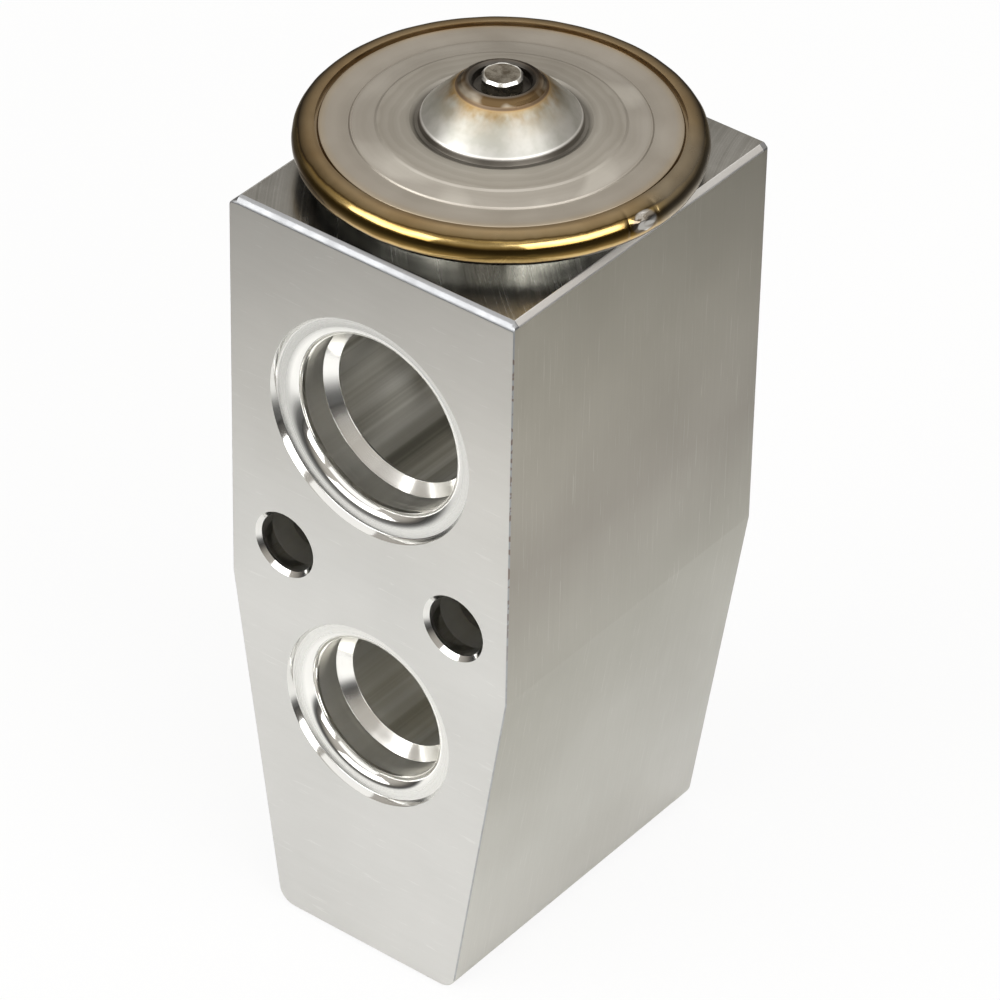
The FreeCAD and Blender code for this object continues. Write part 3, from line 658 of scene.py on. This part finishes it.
def coverSteel(name):
    # pressed stainless sheet: satin grey-brown, a gold-brown stain at the cone's top crease with runs below it,
    # bright ring lines at the cone's foot and at r 14.7 that are painted highlights on those edges, a dark groove
    # round the cone's foot that is partly painted shade, lighter patches and a few dark marks
    material, tree, shader = newMaterial(name, (0.6, 0.57, 0.52), 0.3)
    vector, x, y, _ = place(tree)
    radius = distance2(tree, x, y)
    part = calc(tree, "DIVIDE", radius, cover["toneRadius"])
    # by radius: near black in the crown's recess round the plug and up its inner slope; painted highlight rings at
    # shares 0.391 to 0.394 and at 0.733; partly painted shade in the groove from 0.397 to 0.436
    tone = ramp(tree, part, [
        (0.0, (0.03, 0.025, 0.02)), (0.156, (0.03, 0.025, 0.02)), (0.172, (0.08, 0.055, 0.035)),
        (0.182, (0.27, 0.21, 0.14)), (0.194, (0.52, 0.46, 0.37)), (0.212, (0.56, 0.50, 0.40)),
        (0.217, (0.40, 0.26, 0.12)), (0.2195, (0.12, 0.06, 0.015)), (0.226, (0.14, 0.07, 0.02)),
        (0.230, (0.50, 0.32, 0.12)), (0.238, (0.58, 0.48, 0.32)), (0.262, (0.63, 0.61, 0.545)),
        (0.388, (0.61, 0.605, 0.58)), (0.391, (0.93, 0.92, 0.89)), (0.394, (0.93, 0.92, 0.89)),
        (0.397, (0.15, 0.135, 0.115)), (0.422, (0.16, 0.15, 0.13)), (0.436, (0.38, 0.36, 0.32)),
        (0.470, (0.535, 0.51, 0.46)), (0.728, (0.55, 0.515, 0.46)), (0.733, (0.72, 0.68, 0.61)),
        (0.739, (0.50, 0.465, 0.41)), (0.845, (0.53, 0.485, 0.42)), (0.886, (0.56, 0.475, 0.35)),
        (0.893, (0.36, 0.27, 0.16)), (1.0, (0.36, 0.27, 0.15))])
    rings = lineNoise(tree, radius, 2.2, 3.0, 0.6)
    patches = noise(tree, vector, 0.16, 3.0, 0.5)
    tone = mixColour(tree, spread(tree, patches, 0.0, 0.2), tone, (0.68, 0.65, 0.59))
    runs = noise(tree, stretched(tree, vector, (0.9, 0.9, 0.12)), 1.0, 3.0, 0.5)
    nearCrease = ramp(tree, part, [(0.0, 0.0), (0.229, 0.0), (0.234, 1.0), (0.30, 0.25), (0.34, 0.0), (1.0, 0.0)])
    tone = mixColour(tree, calc(tree, "MULTIPLY", nearCrease, spread(tree, runs, 0.0, 1.0)), tone, (0.42, 0.27, 0.10))
    onCone = ramp(tree, part, [(0.0, 0.0), (0.23, 0.0), (0.25, 1.0), (0.385, 1.0), (0.39, 0.0), (1.0, 0.0)])
    mottle = ramp(tree, noise(tree, vector, 0.42, 3.0, 0.55), [(0.36, (0.80, 0.81, 0.78)), (0.62, (1.0, 1.0, 1.0))])
    tone = mixColour(tree, onCone, tone, mottle, "MULTIPLY")
    onLip = ramp(tree, part, [(0.0, 0.0), (0.17, 0.0), (0.18, 1.0), (0.216, 1.0), (0.219, 0.0), (1.0, 0.0)])
    burnt = ramp(tree, noise(tree, vector, 0.3, 2.0, 0.5), [(0.42, (0.30, 0.22, 0.13)), (0.60, (1.0, 1.0, 1.0))])
    tone = mixColour(tree, onLip, tone, burnt, "MULTIPLY")
    # broken arcs pressed round the cone, and darker strokes along the flat band
    arcs = lineNoise(tree, calc(tree, "ADD", radius, calc(tree, "MULTIPLY", patches, 2.0)), 0.9, 2.0, 0.5)
    onWave = ramp(tree, part, [(0.0, 0.0), (0.44, 0.0), (0.46, 1.0), (0.60, 0.9), (0.63, 0.3), (0.86, 0.2),
                               (1.0, 0.0)])
    arcShade = calc(tree, "MULTIPLY", onWave, spread(tree, arcs, 0.75, 0.0))
    tone = mixColour(tree, arcShade, tone, (0.72, 0.70, 0.66), "MULTIPLY")
    onBand = ramp(tree, part, [(0.0, 0.0), (0.60, 0.0), (0.61, 1.0), (0.728, 1.0), (0.74, 0.0), (1.0, 0.0)])
    pale = ramp(tree, noise(tree, vector, 0.11, 1.0, 0.4), [(0.0, 0.0), (0.57, 0.0), (0.63, 1.0)])
    paleBand = calc(tree, "MULTIPLY", calc(tree, "MULTIPLY", pale, onBand), 0.5)
    tone = mixColour(tree, paleBand, tone, (0.80, 0.77, 0.70))
    gloss = ramp(tree, part, [(0.0, 0.35), (0.14, 0.35), (0.17, 0.26), (0.216, 0.26), (0.222, 0.5), (0.245, 0.40),
                              (0.39, 0.46), (0.43, 0.43), (0.72, 0.43), (0.73, 0.28), (0.745, 0.43), (0.875, 0.40),
                              (0.89, 0.25), (1.0, 0.25)])
    surfaced(tree, shader, tone, calc(tree, "MULTIPLY", gloss, spread(tree, patches, 0.85, 1.2)),
             calc(tree, "ADD", rings, calc(tree, "MULTIPLY", patches, 0.5)), 0.2, 0.01)
    return material


def weldTintAndPaintedLight(name):
    # weld: bands follow the section from its inner edge over the outside; the grey-brown inner part and the straw,
    # brown and gold hues are heat tint, while the bands' light and dark are painted: a dark underside as painted
    # shade, then a thin bright gold line, a dark band, a bright gold band and a dark line above it as painted
    # reflections and highlight; the end of the weld is bare and silvery, and the run past it is a duller bronze
    material, tree, shader = newMaterial(name, (0.72, 0.52, 0.22), 0.13)
    vector, x, y, z = place(tree)
    radius = distance2(tree, x, y)
    wander = calc(tree, "MULTIPLY", calc(tree, "SUBTRACT", noise(tree, vector, 0.35, 3.0, 0.6), 0.5), 0.22)
    up = calc(tree, "SUBTRACT", z, bead["height"])
    out = calc(tree, "SUBTRACT", radius, bead["centre"])
    angle = calc(tree, "ADD", calc(tree, "ARCTAN2", up, out), wander)
    along = calc(tree, "MULTIPLY_ADD", angle, 1 / math.pi, 0.5, clamp=True)
    # painted light by section angle: shade underneath, painted reflections and a highlight band on the outside, heat
    # tint towards the inner edge
    tone = ramp(tree, along, [
        (0.0, (0.08, 0.072, 0.06)), (0.31, (0.08, 0.07, 0.055)), (0.335, (0.28, 0.19, 0.08)),
        (0.36, (0.70, 0.52, 0.24)), (0.41, (0.56, 0.40, 0.16)), (0.445, (0.20, 0.13, 0.04)),
        (0.50, (0.15, 0.10, 0.03)), (0.60, (0.22, 0.14, 0.04)), (0.635, (0.44, 0.30, 0.09)),
        (0.68, (0.70, 0.53, 0.24)), (0.735, (0.42, 0.30, 0.11)), (0.755, (0.16, 0.105, 0.04)),
        (0.772, (0.06, 0.04, 0.015)), (0.79, (0.16, 0.115, 0.055)),
        (0.83,(0.22, 0.165, 0.09)), (0.92, (0.32, 0.24, 0.135)), (1.0, (0.35, 0.265, 0.155))])
    turn = calc(tree, "ARCTAN2", y, x)
    hue = noise(tree, vector, 0.12, 3.0, 0.6)
    tone = mixColour(tree, spread(tree, hue, 0.0, 0.4), tone, (0.62, 0.42, 0.14), "MULTIPLY")
    rising, fading = mapped(tree, turn, -0.12, 0.02), mapped(tree, turn, 0.45, 0.7, 1.0, 0.0)
    dull = calc(tree, "MULTIPLY", calc(tree, "MULTIPLY", rising, fading), 0.7)
    tone = mixColour(tree, dull, tone, (0.36, 0.31, 0.23))
    aside = calc(tree, "SUBTRACT", turn, math.radians(bead["blobTurn"] - 360))
    lifted = calc(tree, "MULTIPLY", calc(tree, "SUBTRACT", angle, bead["blobHeight"]), bead["tintAcross"])
    away = distance2(tree, calc(tree, "MULTIPLY", aside, bead["tintAlong"]), lifted)
    inBlob = calc(tree, "SUBTRACT", 1.0, away, clamp=True)
    inBlob = calc(tree, "MULTIPLY", inBlob, bead["tintEdge"], clamp=True)
    cracks = ramp(tree, noise(tree, stretched(tree, vector, (0.8, 0.3, 0.8)), 1.0, 2.0, 0.5, 1.0),
                  [(0.0, 1.0), (0.42, 1.0), (0.47, 0.0), (0.56, 0.0), (0.60, 0.6)])
    silver = mixColour(tree, cracks, (0.86, 0.85, 0.82), (0.24, 0.20, 0.16))
    tone = mixColour(tree, calc(tree, "MULTIPLY", inBlob, 0.9), tone, silver)
    ripple = noise(tree, vector, 0.55, 3.0, 0.5)
    gloss = ramp(tree, along, [(0.0, 0.2), (0.6, 0.11), (0.72, 0.14), (0.78, 0.32), (1.0, 0.34)])
    surfaced(tree, shader, tone, calc(tree, "MULTIPLY", gloss, spread(tree, ripple, 0.8, 1.3)), ripple, 0.3, 0.02)
    return material


def turnedSteel(name, colour, roughness, lineScale, alongZ=False):
    # turned or drawn round piece: fine rings about its axis over a faint cloudy tone
    material, tree, shader = newMaterial(name, colour, roughness)
    vector, x, y, z = place(tree)
    rings = lineNoise(tree, z if alongZ else distance2(tree, x, y), lineScale, 4.0, 0.65)
    cloud = noise(tree, vector, 0.35, 3.0, 0.5)
    share = weighed(tree, rings, 0.5, cloud, 0.5)
    dark = tuple(value * 0.82 for value in colour)
    tone = mixColour(tree, spread(tree, share, 0.0, 1.0), dark, colour)
    surfaced(tree, shader, tone, spread(tree, share, roughness * 0.75, roughness * 1.3), rings, 0.3, 0.008)
    return material


def drawnCup(name):
    # pressed cup: fine marks of the drawing run down the wall, in clusters lighter than the rest
    material, tree, shader = newMaterial(name, (0.6, 0.58, 0.53), 0.2)
    _, x, y, _ = place(tree)
    radius = distance2(tree, x, y)
    around = addNode(tree, "CombineXYZ", {0: calc(tree, "DIVIDE", x, radius), 1: calc(tree, "DIVIDE", y, radius)})
    fine = noise(tree, around.outputs[0], 26.0, 3.0, 0.6)
    cluster = noise(tree, around.outputs[0], 2.6, 2.0, 0.5)
    share = weighed(tree, fine, 0.6, cluster, 0.4)
    tone = ramp(tree, share, [(0.36, (0.40, 0.395, 0.36)), (0.50, (0.64, 0.63, 0.585)), (0.62, (0.94, 0.92, 0.86))])
    surfaced(tree, shader, tone, spread(tree, fine, 0.16, 0.28), fine, 0.5, 0.02)
    return material


def sealRubber(name):
    # moulded rubber: dark green, faintly mottled, with a soft sheen
    material, tree, shader = newMaterial(name, (0.03, 0.09, 0.055), 0.5, 0.0)
    grain = noise(tree, place(tree)[0], 3.0, 4.0, 0.6)
    tone = ramp(tree, grain, [(0.3, (0.02, 0.06, 0.04)), (0.7, (0.04, 0.12, 0.07))])
    surfaced(tree, shader, tone, spread(tree, grain, 0.42, 0.62), grain, 0.3, 0.01)
    return material


def plugSteel(name):
    # welded button: dull brown patches on its top, a bright worn bevel and a darker skirt
    material, tree, shader = newMaterial(name, (0.5, 0.47, 0.4), 0.25)
    vector, x, y, z = place(tree)
    part = calc(tree, "DIVIDE", distance2(tree, x, y), plug["toneRadius"])
    patches = noise(tree, vector, 0.9, 3.0, 0.55)
    top = ramp(tree, patches, [(0.38, (0.17, 0.145, 0.11)), (0.50, (0.31, 0.285, 0.24)), (0.64, (0.45, 0.42, 0.36))])
    worn = ramp(tree, part, [(0.0, 0.0), (0.425, 0.0), (0.45, 1.0), (1.0, 1.0)])
    tone = mixColour(tree, worn, top, (0.93, 0.92, 0.88))
    onSkirt = calc(tree, "LESS_THAN", z, plug["skirtTop"])
    tone = mixColour(tree, onSkirt, tone, (0.5, 0.46, 0.39))
    surfaced(tree, shader, tone, spread(tree, patches, 0.20, 0.34), patches, 0.4, 0.02)
    return material


fitted(headCover(), "block", [coverSteel("pressedCover")], "upper_cover")
fitted(lowerDish(), "block", [drawnCup("pressedDish")], "lower_cover")
fitted(weldBead(), "block", [weldTintAndPaintedLight("weldTintAndPaintedLight")], "rim_weld_bead")
fitted(sealingPlug(), "block", [plugSteel("plugSteel")], "charge_plug")
print("head made")


# the spring under the ball carrier, and the ball

spring = {
    "coil": 4.1, "wire": 0.5, "turns": 5.5, "low": 7.02, "high": 15.389, "closedRise": 1.02,
    "stepsPerTurn": 60, "around": 20, "floor": 6.5, "top": 15.889, "travel": 0.8,
}


def coilSpring():
    # round wire along a helix: its height rises slowly over the first and last turn, which are closed, and
    # evenly between; the wire's circle stands across the helix at each step
    s = spring
    turn = np.linspace(0, s["turns"], round(s["turns"] * s["stepsPerTurn"]) + 1)
    middle = np.clip(turn - 1, 0, s["turns"] - 2)
    pitch = (s["high"] - s["low"] - 2 * s["closedRise"]) / (s["turns"] - 2)
    height = s["low"] + s["closedRise"] * (turn - middle) + pitch * middle
    angle = 2 * np.pi * turn
    outward = np.stack([np.cos(angle), np.sin(angle), 0 * angle], axis=1)
    route = s["coil"] * outward + np.stack([0 * angle, 0 * angle, height], axis=1)
    along = np.gradient(route, axis=0)
    along /= np.linalg.norm(along, axis=1)[:, None]
    upward = np.cross(outward, along)
    ring = np.linspace(0, 2 * np.pi, s["around"], endpoint=False)[None, :, None]
    grid = route[:, None] + s["wire"] * (np.cos(ring) * outward[:, None] + np.sin(ring) * upward[:, None])
    return pieceFromGrid("coilSpring", grid, capped=True)


coil = fitted(coilSpring(), "block", [turnedSteel("springWire", (0.5, 0.49, 0.47), 0.3, 4.0)],
              "valve_spring")
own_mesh(coil)

ball = {"radius": 3.0, "height": 19.5008, "rows": 49, "around": 96}


def steelBall():
    # half circle carried round the axis: radius sin(turn), height cos(turn)
    turn = np.linspace(0, np.pi, ball["rows"])
    profile = np.stack([ball["radius"] * np.sin(turn), ball["height"] - ball["radius"] * np.cos(turn)], axis=1)
    return pieceFromGrid("steelBall", ringGrid(profile, ball["around"]))


ballFinish = turnedSteel("ballSteel", (0.68, 0.68, 0.69), 0.08, 4.0, True)
fitted(steelBall(), "rod_group", [ballFinish], "valve_ball")
print("spring and ball made")


# pieces kept from the frame, with their finishes

keptFinishes = {
    "mounting_neck": turnedSteel("neckSteel", (0.58, 0.57, 0.55), 0.28, 3.0, True),
    "head_seal": sealRubber("headSealRubber"),
    "rod_seal": sealRubber("rodSealRubber"),
    "adjusting_screw_seal": sealRubber("screwSealRubber"),
    "diaphragm": turnedSteel("diaphragmSteel", (0.64, 0.63, 0.61), 0.2, 2.0),
    "seal_retainer": turnedSteel("retainerSteel", (0.62, 0.61, 0.6), 0.25, 3.0),
    "stop_disc": turnedSteel("stopSteel", (0.58, 0.57, 0.55), 0.28, 2.0),
    "sensing_rod": turnedSteel("rodMetal", (0.66, 0.66, 0.65), 0.22, 5.0, True),
    "push_rod": turnedSteel("pinSteel", (0.6, 0.6, 0.6), 0.15, 6.0, True),
    "ball_carrier": turnedSteel("carrierBrass", (0.72, 0.56, 0.28), 0.25, 3.0),
    "damping_spring": turnedSteel("damperSteel", (0.6, 0.6, 0.58), 0.25, 3.0, True),
    "adjusting_screw": turnedSteel("screwMetal", (0.62, 0.61, 0.59), 0.26, 3.0),
}
for name, material in keptFinishes.items():
    mesh = nodes[name].data
    mesh.materials.clear()
    mesh.materials.append(material)
print("kept pieces finished:", len(keptFinishes))


# studio: camera, three lamps, paper floor and room

studio = {
    "cameraPlace": (0.30428, -0.39642, 0.41846), "cameraTurn": (53.2782, -0.9462, 38.1443), "lens": 221.98,
    "sensor": 36, "clip": (0.05, 60),
    # the lamps look at a point this high above the floor, in metres
    "lampTarget": 0.06,
    "lamps": {
        "lampLeft": {"azimuth": -22, "elevation": 28, "away": 1.1, "size": (1.0, 0.62), "power": 6.4},
        "lampRight": {"azimuth": 76, "elevation": 27, "away": 1.1, "size": (1.1, 0.62), "power": 6.8},
        "lampTop": {"azimuth": 0, "elevation": 90, "away": 1.0, "size": (1.4, 1.4), "power": 4.6},
    },
    "floorHalf": 6.0, "floorDrop": 0.0002, "floorColour": (0.86, 0.855, 0.84), "floorShare": 0.88,
    # brightness of the paper in reflections, by distance from the middle over this radius in millimetres
    "poolRadius": 400.0,
    "poolStops": [(0.0, 0.95), (0.20, 0.95), (0.26, 0.86), (0.32, 0.60), (0.42, 0.28), (0.6, 0.09), (1.0, 0.03)],
    "skyStops": [(0.0, (0.10, 0.095, 0.09)), (0.50, (0.10, 0.095, 0.09)), (0.55, (0.13, 0.12, 0.11)),
                 (0.62, (0.30, 0.28, 0.25)), (0.72, (0.46, 0.43, 0.39)), (0.85, (0.50, 0.47, 0.43)),
                 (1.0, (0.42, 0.40, 0.38))],
    "fill": 0.45,
}


def aimed(azimuth, elevation, away):
    a, e = math.radians(azimuth), math.radians(elevation)
    return (away * math.sin(a) * math.cos(e), -away * math.cos(a) * math.cos(e), away * math.sin(e))


def makeCamera():
    camera = bpy.data.objects.new("camera", bpy.data.cameras.new("camera"))
    bpy.context.scene.collection.objects.link(camera)
    camera.location = studio["cameraPlace"]
    camera.rotation_euler = [math.radians(value) for value in studio["cameraTurn"]]
    camera.data.lens = studio["lens"]
    camera.data.sensor_width = studio["sensor"]
    camera.data.clip_start, camera.data.clip_end = studio["clip"]
    bpy.context.scene.camera = camera


def makeLamps():
    for name, lamp in studio["lamps"].items():
        data = bpy.data.lights.new(name, "AREA")
        data.shape = "RECTANGLE"
        data.size, data.size_y = lamp["size"]
        data.energy = lamp["power"]
        made = bpy.data.objects.new(name, data)
        bpy.context.scene.collection.objects.link(made)
        made.location = aimed(lamp["azimuth"], lamp["elevation"], lamp["away"])
        made.rotation_euler = (math.radians(90 - lamp["elevation"]), 0, math.radians(lamp["azimuth"]))
        made.location.z += studio["lampTarget"]


def makeFloor():
    # pale paper; to the camera it glows nearly white and keeps a soft shadow, and in reflections it is
    # brightest round the object, as under a lamp set close by
    half = studio["floorHalf"]
    mesh = bpy.data.meshes.new("floor")
    mesh.from_pydata([(-half, -half, 0), (half, -half, 0), (half, half, 0), (-half, half, 0)], [], [(0, 1, 2, 3)])
    floor = bpy.data.objects.new("floor", mesh)
    bpy.context.scene.collection.objects.link(floor)
    floor.location.z = -studio["floorDrop"]
    material, tree, shader = newMaterial("floorPaper", studio["floorColour"], 0.9, 0.0)
    path = addNode(tree, "LightPath")
    _, x, y, _ = place(tree)
    away = calc(tree, "DIVIDE", distance2(tree, x, y), studio["poolRadius"], clamp=True)
    pool = mixColour(tree, 1.0, ramp(tree, away, studio["poolStops"]), (1.0, 0.99, 0.97), "MULTIPLY")
    tone = mixColour(tree, path.outputs["Is Camera Ray"], pool, studio["floorColour"])
    tree.links.new(tone, shader.inputs["Base Color"])
    seen = calc(tree, "MULTIPLY", path.outputs["Is Camera Ray"], studio["floorShare"])
    glow = addNode(tree, "Emission", {"Color": (1, 1, 1, 1), "Strength": 1.0})
    both = addNode(tree, "MixShader", {0: seen, 1: shader.outputs[0], 2: glow.outputs[0]})
    tree.links.new(both.outputs[0], tree.nodes["Material Output"].inputs["Surface"])
    mesh.materials.append(material)


def makeWorld():
    # white behind the object, a room that darkens upwards in reflections, and a plain fill for bounce light
    world = bpy.data.worlds.new("studioWorld")
    bpy.context.scene.world = world
    world.use_nodes = True
    tree = world.node_tree
    tree.nodes.clear()
    split = addNode(tree, "SeparateXYZ", {0: addNode(tree, "TexCoord").outputs["Generated"]})
    height = calc(tree, "MULTIPLY_ADD", split.outputs[2], 0.5, 0.5)
    room = addNode(tree, "Background", {"Color": ramp(tree, height, studio["skyStops"]), "Strength": 1.0})
    white = addNode(tree, "Background", {"Color": (1, 1, 1, 1), "Strength": 1.0})
    soft = addNode(tree, "Background", {"Color": (1, 0.99, 0.97, 1), "Strength": studio["fill"]})
    path = addNode(tree, "LightPath")
    inMirror = addNode(tree, "MixShader", {0: path.outputs["Is Glossy Ray"], 1: soft.outputs[0], 2: room.outputs[0]})
    direct = calc(tree, "MAXIMUM", path.outputs["Is Camera Ray"], path.outputs["Is Transmission Ray"])
    final = addNode(tree, "MixShader", {0: direct, 1: inMirror.outputs[0], 2: white.outputs[0]})
    tree.links.new(final.outputs[0], addNode(tree, "OutputWorld").inputs["Surface"])


makeCamera()
makeLamps()
makeFloor()
makeWorld()
bpy.context.scene.view_settings.view_transform = "Standard"
print("studio ready")
